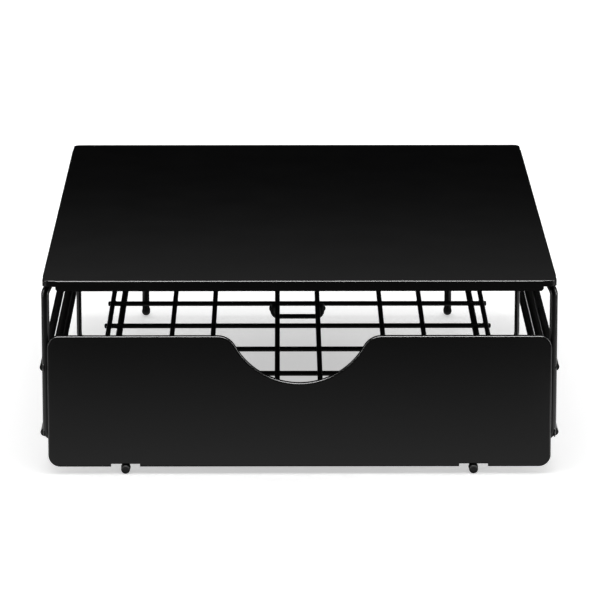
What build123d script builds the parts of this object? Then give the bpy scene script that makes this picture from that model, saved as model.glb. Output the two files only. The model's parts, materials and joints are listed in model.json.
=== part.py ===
from build123d import *

import os

# Pod drawer: a sheet metal top on a welded wire stand, with a wire basket that pulls
# out towards the front on two slide rails. Millimetres, +X right, +Y back, +Z up.
# The origin is on the table, under the middle of the cabinet.

# ---- Top panel: a folded sheet with short flanges -------------------------------------
top_width = 235.0
top_depth = 330.0
overall_height = 91.0
top_sheet = 1.0
top_lip_depth = 2.9
top_lip_recess = 0.3
top_lip_radius = 0.5
top_flange_depth = 4.9
front_flange_cutback = 6.4
side_flange_cutback = 14.0
flange_corner_cut = 0.9
top_corner_radius = 3.5
top_edge_radius = 0.9

# ---- Wire stand -----------------------------------------------------------------------
frame_wire = 3.7
slide_wire = 3.2
top_over_post = 1.5
cross_height = 16.9
post_foot_bend = 3.2
post_foot_straight = 0.01
post_top_inset = 2.0
post_top_rise = 3.6
post_top_setback = 3.6
post_tab_length = 24.0
post_top_bend = 3.0
rail_outset = 1.1
mid_rail_height = 49.4
low_rail_height = 18.8
slide_rail_inset = 26.0

# ---- Feet -----------------------------------------------------------------------------
foot_inset = 36.1
foot_cap_diameter = 4.4
foot_cap_length = 5.5
foot_cap_skin = 0.7
foot_cap_edge = 0.6
foot_bend = 2.5
foot_leg_below_top = 0.6
foot_weld_sink = 0.3

# ---- Drawer front: a shallow pan with a turned-in rim ---------------------------------
front_inside_posts = 2.6
front_bottom = 3.5
front_top = 65.1
front_depth = 2.4
front_sheet = 1.0
front_rim = 1.2
front_corner_radius = 5.5
front_edge_radius = 0.85
front_to_post_gap = 0.6
scoop_half_width = 37.5
scoop_depth = 22.1
scoop_radius = 33.5
foot_notch_width = 13.3
foot_notch_gap = 0.4

# ---- Wire basket ----------------------------------------------------------------------
basket_wire = 2.5
rim_wire_diameter = 3.7
rim_height = 59.0
rim_side_gap = 1.4
rim_rear_gap = 0.5
rim_corner_radius = 10.0
rib_bend = 9.0
rib_to_front_gap = 0.1
floor_gap = 0.3
weld_sink = 0.12
lane_count = 4
lane_side_gap = 16.15
lane_wire_spacing = 32.0
lane_bend = 7.0
wire_end_over_rim = 1.2
row_count = 6
row_pitch = 50.5
first_row_setback = 10.0
row_wire_overhang = 2.4
drawer_travel = 240.0
stop_gap = 1.0
stop_bend = 3.0
stop_end_over_wire = 0.9

# ---- Places worked out from the sizes above -------------------------------------------
frame_r = frame_wire / 2
slide_r = slide_wire / 2
basket_r = basket_wire / 2
rim_r = rim_wire_diameter / 2

front_y = -top_depth / 2
post_x = top_width / 2 - top_over_post
post_y = -(front_y + front_depth + front_to_post_gap + frame_r)
sheet_under = overall_height - top_sheet
tab_height = sheet_under - frame_r
rail_x = post_x + rail_outset
cross_half = post_x - post_foot_bend - post_foot_straight
cross_top = cross_height + frame_r
slide_height = cross_top - slide_r

foot_x = post_x - foot_inset
foot_height = foot_cap_diameter / 2
foot_leg_y = post_y - frame_wire + foot_weld_sink

front_width = 2 * (post_x + frame_r - front_inside_posts)
front_back = front_y + front_sheet
floor_z = cross_top + floor_gap + basket_r
lane_z = floor_z + basket_wire - weld_sink
rim_x = post_x - frame_r - rim_side_gap - rim_r
rim_back_y = post_y - frame_r - rim_rear_gap - rim_r
wire_top_z = rim_height + wire_end_over_rim
rib_x = rim_x - rim_r - basket_r + weld_sink
upright_y = rim_back_y - rim_r - basket_r + weld_sink
front_rib_y = front_back + basket_r + rib_to_front_gap
rear_rib_y = upright_y - lane_bend - basket_r
row_ys = [front_back + first_row_setback + row * row_pitch for row in range(row_count)]
lane_pitch = (2 * (rim_x - lane_side_gap) - lane_wire_spacing) / (lane_count - 1)
lane_xs = [
    lane_pitch * (lane - (lane_count - 1) / 2) + side * lane_wire_spacing / 2
    for lane in range(lane_count)
    for side in (-1, 1)
]
row_half = lane_xs[-1] + row_wire_overhang
middle_row = row_count // 2
stop_x = min(abs(x) for x in lane_xs) + basket_wire - weld_sink
stop_y = -post_y + frame_r + drawer_travel + stop_gap + basket_r

os.makedirs("parts", exist_ok=True)


def save(piece, name):
    """Label one finished piece and write it to its own file."""
    piece.part.label = name
    export_step(piece.part, f"parts/{name}.step")


def bent_wire(points, bends, diameter, cut_by=()):
    """One wire bent through the points, then coped to fit the pieces it is welded to."""
    with BuildPart() as wire:
        with BuildLine() as route:
            FilletPolyline(*points, radius=bends)
        with BuildSketch(Plane(origin=route.line @ 0, z_dir=route.line % 0)):
            Circle(diameter / 2)
        sweep()
        for piece in cut_by:
            add(piece.part, mode=Mode.SUBTRACT)
    return wire


def straight_wire(start, end, diameter, cut_by=()):
    """One straight wire between two points, coped like a bent one."""
    axis = Vector(*end) - Vector(*start)
    with BuildPart() as wire:
        with BuildSketch(Plane(origin=start, z_dir=axis)):
            Circle(diameter / 2)
        extrude(amount=axis.length)
        for piece in cut_by:
            add(piece.part, mode=Mode.SUBTRACT)
    return wire


# ---- Top panel ------------------------------------------------------------------------
flange_x = top_width - 2 * front_flange_cutback
flange_y = top_depth - 2 * side_flange_cutback
lip_width = top_width - 2 * top_lip_recess
lip_depth = top_depth - 2 * top_lip_recess

with BuildPart() as top_panel:
    # the sheet, with a low rounded lip that shows at the four corners
    with BuildSketch(Plane.XY.offset(overall_height)):
        RectangleRounded(lip_width, lip_depth, top_corner_radius)
    extrude(amount=-top_lip_depth)
    fillet(top_panel.faces().sort_by(Axis.Z)[-1].outer_wire().edges(), top_lip_radius)
    # deeper flanges stand a little proud of the lip and stop short of the corners
    for across, length, plane in (
        (top_depth, flange_x, Plane.YZ),
        (top_width, flange_y, Plane.XZ),
    ):
        with BuildSketch(plane):
            with Locations((0, overall_height - top_flange_depth / 2)):
                Rectangle(across, top_flange_depth)
            fillet(vertices().group_by(Axis.Y)[-1], top_edge_radius)
        extrude(amount=length / 2, both=True)
    # hollow it from below, down to the thickness of the sheet
    with BuildSketch(Plane.XY.offset(sheet_under)):
        RectangleRounded(lip_width - 2 * top_sheet, lip_depth - 2 * top_sheet, top_corner_radius - top_sheet)
        Rectangle(flange_x, top_depth - 2 * top_sheet)
        Rectangle(top_width - 2 * top_sheet, flange_y)
    extrude(amount=-top_flange_depth, mode=Mode.SUBTRACT)
    flange_ends = top_panel.edges().group_by(Axis.Z)[0].filter_by(lambda edge: edge.length < 2 * top_sheet)
    chamfer(flange_ends, flange_corner_cut)
save(top_panel, "top_panel")

# ---- Wire stand: cross wires, posts and feet at each end ------------------------------
cross_wires = []
posts = {"left": [], "right": []}
for end_name, end in (("front", -1), ("rear", 1)):
    y = end * post_y
    cross = straight_wire((-cross_half, y, cross_height), (cross_half, y, cross_height), frame_wire)
    save(cross, f"{end_name}_cross_wire")
    cross_wires.append(cross)

    for side_name, side in (("left", -1), ("right", 1)):
        # the post turns in at the foot to meet the cross wire, and at its top it
        # leans in and runs back under the sheet as a welding tab
        x = side * post_x
        top_x = side * (post_x - post_top_inset)
        tab_y = end * (post_y - post_top_setback)
        post = bent_wire(
            [
                (side * cross_half, y, cross_height),
                (x, y, cross_height),
                (x, y, tab_height - post_top_rise),
                (top_x, tab_y, tab_height),
                (top_x, tab_y - end * post_tab_length, tab_height),
            ],
            [post_foot_bend, post_top_bend, post_top_bend],
            frame_wire,
        )
        save(post, f"{end_name}_{side_name}_post")
        posts[side_name].append(post)

        # the foot wire hangs from the cross wire and points outwards under the drawer front
        x = side * foot_x
        tip_y = end * (-front_y - foot_cap_skin)
        leg_y = end * foot_leg_y
        foot = bent_wire(
            [
                (x, tip_y, foot_height),
                (x, leg_y, foot_height),
                (x, leg_y, cross_top - foot_leg_below_top),
            ],
            foot_bend,
            frame_wire,
            cut_by=[cross],
        )
        save(foot, f"{end_name}_{side_name}_foot")

        with BuildPart() as foot_cap:
            with BuildSketch(Plane.XZ.offset(end * front_y)):
                with Locations((x, foot_height)):
                    Circle(foot_cap_diameter / 2)
            extrude(amount=end * foot_cap_length)
            fillet(foot_cap.faces().sort_by(Axis.Y)[-1 if end > 0 else 0].edges(), foot_cap_edge)
            add(foot.part, mode=Mode.SUBTRACT)
        save(foot_cap, f"{end_name}_{side_name}_foot_cap")

# ---- Wire stand: rails along the sides ------------------------------------------------
for side_name, side in (("left", -1), ("right", 1)):
    for rail_name, height in (("mid", mid_rail_height), ("low", low_rail_height)):
        x = side * rail_x
        rail = straight_wire(
            (x, -post_y, height), (x, post_y, height), frame_wire, cut_by=posts[side_name]
        )
        save(rail, f"{side_name}_{rail_name}_rail")
    x = side * (post_x - slide_rail_inset)
    slide_rail = straight_wire(
        (x, -post_y, slide_height), (x, post_y, slide_height), slide_wire, cut_by=cross_wires
    )
    save(slide_rail, f"{side_name}_slide_rail")

# ---- Drawer front ---------------------------------------------------------------------
# The finger scoop is one large arc that meets the top edge through two smaller arcs.
scoop_rise = scoop_radius - scoop_depth
shoulder_radius = (scoop_half_width**2 + scoop_rise**2 - scoop_radius**2) / (2 * scoop_depth)
scoop_centre = Vector(0, front_top + scoop_rise)
shoulder_centre = Vector(scoop_half_width, front_top - shoulder_radius)
to_shoulder = (shoulder_centre - scoop_centre).normalized()
join = scoop_centre + to_shoulder * scoop_radius
shoulder_top = Vector(scoop_half_width, front_top)
halfway = ((join - shoulder_centre).normalized() + Vector(0, 1)).normalized()
shoulder_mid = shoulder_centre + halfway * shoulder_radius
notch_top = foot_cap_diameter + foot_notch_gap

with BuildPart() as front_panel:
    with BuildSketch(Plane.XZ.offset(-front_y)) as outline:
        with Locations((0, (front_bottom + front_top) / 2)):
            RectangleRounded(front_width, front_top - front_bottom, front_corner_radius)
        with BuildLine():
            right = ThreePointArc(shoulder_top, shoulder_mid, join)
            ThreePointArc(join, (0, front_top - scoop_depth), (-join.X, join.Y))
            mirror(right, about=Plane.YZ)
            Line((-scoop_half_width, front_top), (scoop_half_width, front_top))
        make_face(mode=Mode.SUBTRACT)
        with Locations((-foot_x, front_bottom), (foot_x, front_bottom)):
            Rectangle(foot_notch_width, 2 * (notch_top - front_bottom), mode=Mode.SUBTRACT)
    extrude(amount=-front_depth)
    with BuildSketch(Plane.XZ.offset(-front_back)):
        add(outline.sketch_local)
        offset(amount=-front_rim, kind=Kind.INTERSECTION)
    extrude(amount=-front_depth, mode=Mode.SUBTRACT)
    fillet(front_panel.faces().sort_by(Axis.Y)[0].outer_wire().edges(), front_edge_radius)
save(front_panel, "front_panel")

# ---- Basket ---------------------------------------------------------------------------
rim_wire = bent_wire(
    [
        (-rim_x, front_back, rim_height),
        (-rim_x, rim_back_y, rim_height),
        (rim_x, rim_back_y, rim_height),
        (rim_x, front_back, rim_height),
    ],
    rim_corner_radius,
    rim_wire_diameter,
)
save(rim_wire, "rim_wire")

floor_wires = []
for rib_name, y in (
    ("front", front_rib_y),
    ("middle", row_ys[middle_row]),
    ("rear", rear_rib_y),
):
    rib = bent_wire(
        [
            (-rib_x, y, wire_top_z),
            (-rib_x, y, floor_z),
            (rib_x, y, floor_z),
            (rib_x, y, wire_top_z),
        ],
        rib_bend,
        basket_wire,
        cut_by=[rim_wire],
    )
    save(rib, f"{rib_name}_rib")
    floor_wires.append(rib)

plain_rows = [y for row, y in enumerate(row_ys) if row != middle_row]
for number, y in enumerate(plain_rows, start=1):
    row_wire = straight_wire((-row_half, y, floor_z), (row_half, y, floor_z), basket_wire)
    save(row_wire, f"row_wire_{number}")
    floor_wires.append(row_wire)

# each lane wire runs along the floor and turns up at the back to the rim
lane_wires = []
for number, x in enumerate(lane_xs, start=1):
    lane_wire = bent_wire(
        [(x, front_back, lane_z), (x, upright_y, lane_z), (x, upright_y, wire_top_z)],
        lane_bend,
        basket_wire,
        cut_by=[rim_wire, *floor_wires],
    )
    save(lane_wire, f"lane_wire_{number}")
    lane_wires.append(lane_wire)

# a hairpin under the floor that meets the front cross wire when the drawer is fully out
stop_top_z = lane_z + stop_end_over_wire
stop_wire = bent_wire(
    [
        (-stop_x, stop_y, stop_top_z),
        (-stop_x, stop_y, cross_height),
        (stop_x, stop_y, cross_height),
        (stop_x, stop_y, stop_top_z),
    ],
    stop_bend,
    basket_wire,
    cut_by=lane_wires,
)
save(stop_wire, "stop_wire")
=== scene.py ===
import json
import math

import bmesh
import bpy
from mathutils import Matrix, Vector


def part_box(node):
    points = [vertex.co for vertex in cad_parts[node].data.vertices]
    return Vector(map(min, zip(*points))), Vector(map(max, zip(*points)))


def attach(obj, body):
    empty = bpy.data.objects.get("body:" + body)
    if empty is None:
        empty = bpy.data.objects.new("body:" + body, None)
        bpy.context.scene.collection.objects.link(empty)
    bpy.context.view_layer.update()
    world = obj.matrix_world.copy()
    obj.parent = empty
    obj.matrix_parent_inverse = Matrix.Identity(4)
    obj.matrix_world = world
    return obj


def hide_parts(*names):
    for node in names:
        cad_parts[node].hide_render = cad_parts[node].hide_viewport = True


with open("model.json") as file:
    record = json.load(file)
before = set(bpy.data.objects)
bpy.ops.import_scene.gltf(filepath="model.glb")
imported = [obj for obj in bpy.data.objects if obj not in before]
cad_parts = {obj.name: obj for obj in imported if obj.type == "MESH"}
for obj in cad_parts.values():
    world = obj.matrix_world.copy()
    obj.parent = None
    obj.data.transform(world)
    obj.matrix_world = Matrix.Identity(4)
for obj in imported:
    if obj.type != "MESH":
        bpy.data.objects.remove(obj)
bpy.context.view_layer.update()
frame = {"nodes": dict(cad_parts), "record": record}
scene = bpy.context.scene
mm = 0.001
print("frame loaded:", len(frame["nodes"]), "solids")

# camera: as far back as a product photographer stands, looking a little down
cameraView = {
    "place": Vector((-9.0, -2135.0, 529.6)) * mm,
    "pitchDown": 12.8,
    "turnRight": 0.267,
    "lens": 266.4,
    "sensor": 36.0,
    "clip": (0.05, 60.0),
}


def makeCamera(view):
    data = bpy.data.cameras.new("camera")
    data.lens = view["lens"]
    data.sensor_width = view["sensor"]
    data.clip_start, data.clip_end = view["clip"]
    camera = bpy.data.objects.new("camera", data)
    scene.collection.objects.link(camera)
    camera.location = view["place"]
    camera.rotation_euler = (math.radians(90 - view["pitchDown"]), 0, math.radians(-view["turnRight"]))
    scene.camera = camera


makeCamera(cameraView)
scene.view_settings.view_transform = "Standard"
scene.view_settings.look = "None"
print("camera set")


# shader and world trees: an expression on these values adds its Math nodes
class Value:
    def __init__(self, tree, socket):
        self.tree = tree
        self.socket = socket

    def math(self, operation, first, second):
        return self.tree.add("ShaderNodeMath", {"operation": operation}, {0: first, 1: second})

    def __add__(self, other):
        return self.math("ADD", self, other)

    def __radd__(self, other):
        return self.math("ADD", other, self)

    def __sub__(self, other):
        return self.math("SUBTRACT", self, other)

    def __rsub__(self, other):
        return self.math("SUBTRACT", other, self)

    def __mul__(self, other):
        return self.math("MULTIPLY", self, other)

    def __rmul__(self, other):
        return self.math("MULTIPLY", other, self)

    def __truediv__(self, other):
        return self.math("DIVIDE", self, other)

    def __rtruediv__(self, other):
        return self.math("DIVIDE", other, self)


class Tree:
    def __init__(self, nodeTree):
        self.nodes = nodeTree.nodes
        self.links = nodeTree.links
        self.nodes.clear()

    def add(self, kind, settings=None, inputs=None, output=0):
        node = self.nodes.new(kind)
        for name, setting in (settings or {}).items():
            if name == "stops":
                self.setStops(node.color_ramp, setting)
            else:
                setattr(node, name, setting)
        for name, value in (inputs or {}).items():
            if isinstance(value, Value):
                self.links.new(value.socket, node.inputs[name])
            else:
                node.inputs[name].default_value = value
        return Value(self, node.outputs[output]) if node.outputs else node

    def setStops(self, ramp, stops):
        while len(ramp.elements) < len(stops):
            ramp.elements.new(1.0)
        for element, (place, level) in zip(ramp.elements, stops):
            element.position = place
            element.color = (level, level, level, 1.0)

    def mixColour(self, share, first, second):
        return self.add(
            "ShaderNodeMix",
            {"data_type": "RGBA"},
            {"Factor": share, "A": first, "B": second},
            output="Result",
        )


# world: white behind the object, and in the coat a soft room that is dark at the horizon
roomLight = {
    "backdrop": (1.0, 1.0, 1.0, 1.0),
    "fill": (0.0, 0.0, 0.0, 1.0),
    "stops": [(0.0, 0.16), (0.40, 0.04), (0.46, 0.0), (0.62, 0.0), (0.80, 0.02), (1.0, 0.06)],
}


def makeWorld(room):
    world = bpy.data.worlds.new("studio")
    scene.world = world
    world.use_nodes = True
    tree = Tree(world.node_tree)
    place = tree.add("ShaderNodeTexCoord", output="Generated")
    height = tree.add("ShaderNodeSeparateXYZ", inputs={0: place}, output="Z")
    glow = tree.add("ShaderNodeValToRGB", {"stops": room["stops"]}, {0: height * 0.5 + 0.5})
    seen = tree.add("ShaderNodeLightPath", output="Is Camera Ray")
    mirrored = tree.add("ShaderNodeLightPath", output="Is Glossy Ray")
    plain = tree.mixColour(seen, room["fill"], room["backdrop"])
    colour = tree.mixColour(mirrored, plain, glow)
    back = tree.add("ShaderNodeBackground", inputs={"Color": colour, "Strength": 1.0})
    tree.add("ShaderNodeOutputWorld", inputs={"Surface": back})


makeWorld(roomLight)

# lamps: a wide soft ceiling that the coat doesn't mirror, and four strips that draw its edges
softLamps = {
    "ceiling": {"size": (6.0, 6.0), "place": (0, 0.4, 2.6), "aim": (0, 0.4, 0), "watts": 146.0},
    "frontStrip": {"size": (1.8, 0.5), "place": (0, -0.6, 1.7), "aim": (0, 0, 0.05), "watts": 100.0},
    "rearStrip": {"size": (1.8, 0.2), "place": (0, 1.3, 1.3), "aim": (0, 0, 0.05), "watts": 0.1},
    "leftStrip": {"size": (0.25, 1.2), "place": (-1.3, -0.5, 0.5), "aim": (0, 0, 0.05), "watts": 9.0},
    "rightStrip": {"size": (0.25, 1.2), "place": (1.3, -0.5, 0.5), "aim": (0, 0, 0.05), "watts": 14.0},
}


def makeLamp(name, lamp):
    data = bpy.data.lights.new(name, "AREA")
    data.shape = "RECTANGLE"
    data.size, data.size_y = lamp["size"]
    data.energy = lamp["watts"]
    obj = bpy.data.objects.new(name, data)
    scene.collection.objects.link(obj)
    place = Vector(lamp["place"])
    obj.location = place
    obj.rotation_euler = (Vector(lamp["aim"]) - place).to_track_quat("-Z", "Y").to_euler()
    strip = name != "ceiling"
    obj.visible_camera = False
    obj.visible_glossy = strip
    obj.visible_diffuse = not strip


for lampName, lamp in softLamps.items():
    makeLamp(lampName, lamp)

# floor: a plain white sweep that the coat doesn't mirror
floorSheet = {"half": 6.0, "colour": (0.88, 0.88, 0.88, 1), "own": 0.54}

# glowing cards that shine only in the coat, each brightest at one end: one lies in front of
# the object, one at either side of it, and one stands behind it
glowCards = {
    "frontCard": {
        "corners": ((-0.35, -0.499, 0.0002), (0.35, -0.169, 0.0002)),
        "axis": "Y",
        "bright": -0.169,
        "glow": 0.55,
    },
    "leftCard": {
        "corners": ((-0.50, -0.31, 0.0002), (-0.135, 0.25, 0.0002)),
        "axis": "X",
        "bright": -0.135,
        "glow": 1.2,
    },
    "rightCard": {
        "corners": ((0.135, -0.31, 0.0002), (0.50, 0.25, 0.0002)),
        "axis": "X",
        "bright": 0.135,
        "glow": 1.7,
    },
    "rearCard": {
        "corners": ((-0.7, 0.28, 0.16), (0.7, 0.28, 0.9)),
        "axis": "Z",
        "bright": 0.9,
        "glow": 0.82,
    },
}


def makePlane(name, corners, material):
    mesh = bpy.data.meshes.new(name)
    mesh.from_pydata(corners, [], [(0, 1, 2, 3)])
    mesh.materials.append(material)
    obj = bpy.data.objects.new(name, mesh)
    scene.collection.objects.link(obj)
    return obj


def makeFloor(sheet):
    paint = bpy.data.materials.new("floorPaint")
    paint.use_nodes = True
    tree = Tree(paint.node_tree)
    shader = tree.add(
        "ShaderNodeBsdfPrincipled",
        inputs={
            "Base Color": sheet["colour"],
            "Roughness": 1.0,
            "Specular IOR Level": 0.0,
            "Emission Color": (1, 1, 1, 1),
            "Emission Strength": sheet["own"],
        },
    )
    tree.add("ShaderNodeOutputMaterial", inputs={"Surface": shader})
    half = sheet["half"]
    corners = [(-half, -half, 0), (half, -half, 0), (half, half, 0), (-half, half, 0)]
    floor = makePlane("floor", corners, paint)
    floor.visible_glossy = False
    floor.visible_diffuse = False


def makeCard(name, card):
    first, last = card["corners"]
    axis = "XYZ".index(card["axis"])
    dark = first[axis] + last[axis] - card["bright"]
    shine = bpy.data.materials.new(name)
    shine.use_nodes = True
    tree = Tree(shine.node_tree)
    place = tree.add("ShaderNodeTexCoord", output="Object")
    along = tree.add("ShaderNodeSeparateXYZ", inputs={0: place}, output=card["axis"])
    strength = (along - dark) / (card["bright"] - dark) * card["glow"]
    shader = tree.add("ShaderNodeEmission", inputs={"Strength": strength})
    tree.add("ShaderNodeOutputMaterial", inputs={"Surface": shader})
    (left, near, low), (right, far, high) = first, last
    corners = [(left, near, low), (right, near, low), (right, far, high), (left, far, high)]
    plane = makePlane(name, corners, shine)
    plane.visible_camera = False
    plane.visible_diffuse = False
    plane.visible_shadow = False


makeFloor(floorSheet)
for cardName, card in glowCards.items():
    makeCard(cardName, card)
print("stage set")

# finishes: powder coat on sheet and wire, and the rubber of the foot caps
sheetCoat = {
    "dark": (0.0006, 0.0006, 0.0007, 1),
    "light": (0.0014, 0.0014, 0.0015, 1),
    "cloudScale": 45.0,
    "cloudDetail": 3.0,
    "peelScale": 750.0,
    "gritScale": 3600.0,
    "fineDetail": 1.0,
    "gritInColour": 0.4,
    "gritInRoughness": 0.5,
    "gritInBump": 0.08,
    "roughness": 0.24,
    "roughnessSpread": 0.06,
    "peelHeight": 0.006 * mm,
    "specular": 0.5,
}
wireCoat = dict(sheetCoat, roughness=0.28, peelScale=600.0, peelHeight=0.008 * mm)
capRubber = dict(
    sheetCoat,
    dark=(0.010, 0.010, 0.010, 1),
    light=(0.016, 0.016, 0.016, 1),
    roughness=0.62,
    peelScale=2200.0,
    peelHeight=0.02 * mm,
    specular=0.35,
)


def blend(coarse, grit, share):
    return coarse * (1 - share) + grit * share


def makeCoat(name, coat):
    material = bpy.data.materials.new(name)
    material.use_nodes = True
    tree = Tree(material.node_tree)
    place = tree.add("ShaderNodeTexCoord", output="Object")

    def noise(scale, detail):
        inputs = {"Vector": place, "Scale": scale, "Detail": detail}
        return tree.add("ShaderNodeTexNoise", inputs=inputs)

    cloud = noise(coat["cloudScale"], coat["cloudDetail"])
    peel = noise(coat["peelScale"], coat["fineDetail"])
    grit = noise(coat["gritScale"], coat["fineDetail"])
    colour = tree.mixColour(blend(cloud, grit, coat["gritInColour"]), coat["dark"], coat["light"])
    unevenness = blend(cloud, grit, coat["gritInRoughness"]) - 0.5
    rough = coat["roughness"] + unevenness * coat["roughnessSpread"]
    height = blend(peel, grit, coat["gritInBump"])
    normal = tree.add(
        "ShaderNodeBump",
        inputs={"Strength": 1.0, "Distance": coat["peelHeight"], "Height": height},
    )
    shader = tree.add(
        "ShaderNodeBsdfPrincipled",
        inputs={
            "Base Color": colour,
            "Roughness": rough,
            "Specular IOR Level": coat["specular"],
            "Normal": normal,
        },
    )
    tree.add("ShaderNodeOutputMaterial", inputs={"Surface": shader})
    return material


slotFinish = {
    "top_coat": makeCoat("topCoat", sheetCoat),
    "front_coat": makeCoat("frontCoat", sheetCoat),
    "stand_coat": makeCoat("standCoat", wireCoat),
    "basket_coat": makeCoat("basketCoat", wireCoat),
    "foot_rubber": makeCoat("footRubber", capRubber),
}
nodeSlot = {part["node"]: part["material_slot"] for part in frame["record"]["subparts"]}
for nodeName, solid in frame["nodes"].items():
    solid.data.materials.clear()
    solid.data.materials.append(slotFinish[nodeSlot[nodeName]])
print("finishes made")


def middle(name):
    low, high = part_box(name)
    return (low + high) / 2


def newPiece(name, mesh, body, slot):
    mesh.materials.clear()
    mesh.materials.append(slotFinish[slot])
    piece = bpy.data.objects.new(name, mesh)
    scene.collection.objects.link(piece)
    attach(piece, body)
    return piece


# geometry trees: each takes its sizes as named inputs and ends in one plain mesh
class Geometry:
    def __init__(self, name, sizes):
        self.group = bpy.data.node_groups.new(name, "GeometryNodeTree")
        self.group.interface.new_socket("Geometry", in_out="INPUT", socket_type="NodeSocketGeometry")
        self.group.interface.new_socket("Geometry", in_out="OUTPUT", socket_type="NodeSocketGeometry")
        self.sizes = sizes
        self.keys = {}
        for label, size in sizes.items():
            kind = "NodeSocketInt" if isinstance(size, int) else "NodeSocketFloat"
            socket = self.group.interface.new_socket(label, in_out="INPUT", socket_type=kind)
            socket.default_value = size
            self.keys[label] = socket.identifier
        self.start = self.group.nodes.new("NodeGroupInput")

    def given(self, label):
        return self.start.outputs[label]

    def add(self, kind, settings=None, inputs=None, output=0):
        node = self.group.nodes.new(kind)
        for name, setting in (settings or {}).items():
            setattr(node, name, setting)
        for name, value in (inputs or {}).items():
            if isinstance(value, bpy.types.NodeSocket):
                self.group.links.new(value, node.inputs[name])
            else:
                node.inputs[name].default_value = value
        return node.outputs[output]

    def math(self, operation, first, second):
        return self.add("ShaderNodeMath", {"operation": operation}, {0: first, 1: second})

    def attribute(self, name, kind):
        return self.add("GeometryNodeInputNamedAttribute", {"data_type": kind}, {"Name": name})

    def end(self, shape, finish):
        real = self.add("GeometryNodeRealizeInstances", None, {"Geometry": shape})
        painted = self.add("GeometryNodeSetMaterial", None, {"Geometry": real, "Material": finish})
        last = self.group.nodes.new("NodeGroupOutput")
        self.group.links.new(painted, last.inputs[0])

    def grow(self, seedMesh):
        carrier = bpy.data.objects.new("carrier", seedMesh)
        scene.collection.objects.link(carrier)
        modifier = carrier.modifiers.new("grow", "NODES")
        modifier.node_group = self.group
        for label, size in self.sizes.items():
            modifier[self.keys[label]] = size
        depsgraph = bpy.context.evaluated_depsgraph_get()
        mesh = bpy.data.meshes.new_from_object(carrier.evaluated_get(depsgraph))
        carrier.modifiers.remove(modifier)
        bpy.data.objects.remove(carrier)
        return mesh


# one flattened ball on every point, turned to the point's aim and as wide as the point says
def ballTree(name, ball, finish):
    labels = ("height", "unevenness", "rings", "segments", "seed")
    tree = Geometry(name, {label: ball[label] for label in labels})
    shape = tree.add(
        "GeometryNodeMeshUVSphere",
        None,
        {"Segments": tree.given("segments"), "Rings": tree.given("rings"), "Radius": 1.0},
    )
    smooth = tree.add("GeometryNodeSetShadeSmooth", None, {"Geometry": shape})
    turn = tree.add(
        "FunctionNodeAlignRotationToVector",
        {"axis": "Z"},
        {"Vector": tree.attribute("aim", "FLOAT_VECTOR")},
    )
    chance = tree.add(
        "FunctionNodeRandomValue",
        {"data_type": "FLOAT"},
        {
            "Min": tree.math("SUBTRACT", 1.0, tree.given("unevenness")),
            "Max": tree.math("ADD", 1.0, tree.given("unevenness")),
            "Seed": tree.given("seed"),
        },
        output="Value",
    )
    across = tree.math("MULTIPLY", tree.attribute("width", "FLOAT"), chance)
    size = tree.add("ShaderNodeCombineXYZ", None, {"X": across, "Y": across, "Z": tree.given("height")})
    balls = tree.add(
        "GeometryNodeInstanceOnPoints",
        None,
        {"Points": tree.start.outputs[0], "Instance": smooth, "Rotation": turn, "Scale": size},
    )
    tree.end(balls, finish)
    return tree


up = (0, 0, 1)
back = (0, 1, 0)
aside = (1, 0, 0)


def spot(at, aim, width):
    return {"at": Vector(at), "aim": Vector(aim), "width": width}


def spotMesh(spots):
    mesh = bpy.data.meshes.new("spots")
    mesh.from_pydata([place["at"] for place in spots], [], [])
    mesh.attributes.new("aim", "FLOAT_VECTOR", "POINT")
    mesh.attributes.new("width", "FLOAT", "POINT")
    for index, place in enumerate(spots):
        mesh.attributes["aim"].data[index].vector = place["aim"]
        mesh.attributes["width"].data[index].value = place["width"]
    return mesh


# welds: a low bead of squeezed-out metal, under the coat, wherever two wires meet; the
# shares say how far a bead reaches from its middle, as a part of the wire's diameter
weldBead = {
    "height": 0.62 * mm,
    "unevenness": 0.16,
    "rings": 8,
    "segments": 16,
    "seed": 7,
    "floorShare": 0.52,
    "rimShare": 0.55,
    "laneToPanelShare": 0.72,
    "rimToPanelShare": 0.66,
    "stopShare": 0.5,
    "cornerShare": 0.56,
    "slideShare": 0.55,
    "sideShare": 0.6,
}

laneNames = [name for name in frame["nodes"] if name.startswith("lane_wire")]
rowNames = [name for name in frame["nodes"] if name.startswith("row_wire")]
ribNames = ["front_rib", "middle_rib", "rear_rib"]


def basketSpots(bead):
    spots = []
    rowLow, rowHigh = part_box(rowNames[0])
    wire = rowHigh.z - rowLow.z
    rim = middle("rim_wire")
    rimLow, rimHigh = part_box("rim_wire")
    rimWire = rimHigh.z - rimLow.z
    for lane in laneNames:
        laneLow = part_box(lane)[0]
        x = middle(lane).x
        for name in rowNames + ribNames:
            spots.append(spot((x, middle(name).y, rowHigh.z), up, wire * bead["floorShare"]))
        spots.append(spot((x, rimHigh.y - rimWire, rim.z), back, wire * bead["rimShare"]))
        panelBack = (x, laneLow.y, laneLow.z + wire / 2)
        spots.append(spot(panelBack, back, wire * bead["laneToPanelShare"]))
    for name in ribNames:
        low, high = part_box(name)
        for x in (low.x, high.x):
            spots.append(spot((x, middle(name).y, rim.z), aside, wire * bead["rimShare"]))
    for x in (rimLow.x + rimWire / 2, rimHigh.x - rimWire / 2):
        spots.append(spot((x, rimLow.y, rim.z), back, rimWire * bead["rimToPanelShare"]))
    low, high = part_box("stop_wire")
    for x in (low.x, high.x):
        at = (x, middle("stop_wire").y, high.z - wire)
        spots.append(spot(at, aside, wire * bead["stopShare"]))
    return spots


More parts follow.
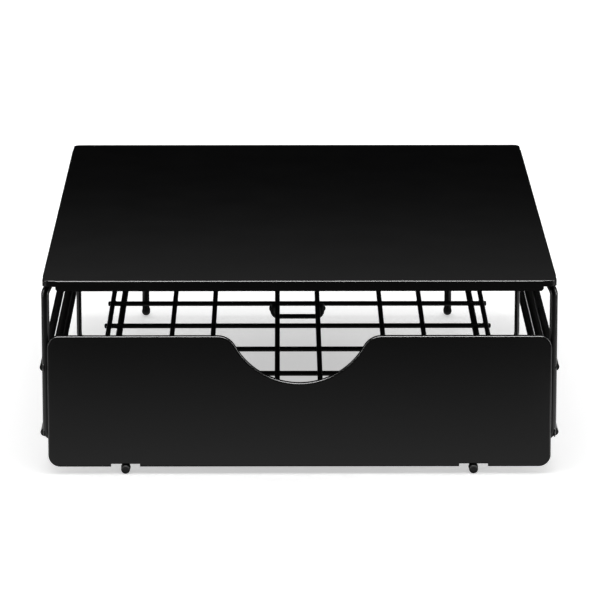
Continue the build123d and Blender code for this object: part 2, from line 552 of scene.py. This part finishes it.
def standSpots(bead):
    spots = []
    for end in ("front", "rear"):
        cross = middle(end + "_cross_wire")
        low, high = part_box(end + "_cross_wire")
        wire = high.z - low.z
        inner = high.y if end == "front" else low.y
        for x in (low.x, high.x):
            spots.append(spot((x, cross.y, cross.z), aside, wire * bead["cornerShare"]))
        for side in ("left", "right"):
            foot = middle(f"{end}_{side}_foot")
            spots.append(spot((foot.x, inner, cross.z), back, wire * bead["sideShare"]))
            slide = middle(side + "_slide_rail")
            spots.append(spot((slide.x, inner, slide.z), back, wire * bead["slideShare"]))
            for rail in ("mid", "low"):
                place = middle(f"{side}_{rail}_rail")
                spots.append(spot((place.x, cross.y, place.z), aside, wire * bead["sideShare"]))
    return spots


for weldName, body, slotName, spots in (
    ("basketWelds", "drawer", "basket_coat", basketSpots(weldBead)),
    ("standWelds", "stand", "stand_coat", standSpots(weldBead)),
):
    beads = ballTree("weldBeads", weldBead, slotFinish[slotName]).grow(spotMesh(spots))
    newPiece(weldName, beads, body, slotName)
print("welds made")

# wire ends: the coat rounds off every sheared end
endDome = {"height": 0.45 * mm, "unevenness": 0.0, "rings": 5, "segments": 24, "seed": 1}


def endSpots():
    spots = []
    low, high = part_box(rowNames[0])
    radius = (high.z - low.z) / 2
    for name in rowNames:
        low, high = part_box(name)
        for x in (low.x, high.x):
            spots.append(spot((x, middle(name).y, middle(name).z), aside, radius))
    for name in laneNames:
        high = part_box(name)[1]
        spots.append(spot((middle(name).x, high.y - radius, high.z), up, radius))
    for name in ribNames:
        low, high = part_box(name)
        for x in (low.x + radius, high.x - radius):
            spots.append(spot((x, middle(name).y, high.z), up, radius))
    return spots


domes = ballTree("wireEnds", endDome, slotFinish["basket_coat"]).grow(spotMesh(endSpots()))
newPiece("basketWireEnds", domes, "drawer", "basket_coat")
print("wire ends made")

# foot caps: turned rubber caps with a thick rim at the mouth and a soft end
footCap = {
    "segments": 40,
    "rimWidth": 0.9 * mm,
    "rimEdge": 0.1 * mm,
    "waist": 0.12 * mm,
    "nose": 0.9 * mm,
    "noseSteps": 6,
    "wall": 0.32 * mm,
    "recess": 0.6 * mm,
    "flare": 0.08 * mm,
}


# radius and distance from the tip, from inside the mouth, over the rim, to the tip
def capProfile(cap, length, radius):
    body = radius - cap["waist"]
    bore = radius - cap["wall"]
    edge = cap["rimEdge"]
    profile = [
        (bore, length - cap["recess"]),
        (bore, length - edge),
        (bore + cap["flare"], length),
        (radius - edge, length),
        (radius, length - edge),
        (radius, length - cap["rimWidth"]),
        (body, length - cap["rimWidth"] - cap["waist"]),
    ]
    for step in range(cap["noseSteps"] + 1):
        angle = math.pi / 2 * step / cap["noseSteps"]
        across = body - cap["nose"] * (1 - math.cos(angle))
        profile.append((across, cap["nose"] * (1 - math.sin(angle))))
    return profile


def makeFootCaps(cap, names):
    mesh = bmesh.new()
    for name in names:
        low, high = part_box(name)
        centre = (low + high) / 2
        outward = -1 if centre.y < 0 else 1
        tip = low.y if outward < 0 else high.y
        rings = []
        for across, along in capProfile(cap, high.y - low.y, (high.z - low.z) / 2):
            ring = []
            for index in range(cap["segments"]):
                angle = math.tau * index / cap["segments"]
                place = Vector((centre.x, tip - outward * along, centre.z))
                place += Vector((across * math.cos(angle), 0, across * math.sin(angle)))
                ring.append(mesh.verts.new(place))
            rings.append(ring)
        for first, second in zip(rings, rings[1:]):
            for index in range(cap["segments"]):
                after = (index + 1) % cap["segments"]
                mesh.faces.new((first[index], first[after], second[after], second[index]))
        mesh.faces.new(rings[0])
        mesh.faces.new(rings[-1])
    bmesh.ops.recalc_face_normals(mesh, faces=mesh.faces)
    for face in mesh.faces:
        face.smooth = len(face.verts) == 4
    made = bpy.data.meshes.new("footCaps")
    mesh.to_mesh(made)
    mesh.free()
    return made


capNames = [f"{end}_{side}_foot_cap" for end in ("front", "rear") for side in ("left", "right")]
caps = newPiece("footCaps", makeFootCaps(footCap, capNames), "stand", "foot_rubber")
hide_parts(*capNames)
print("foot caps made")
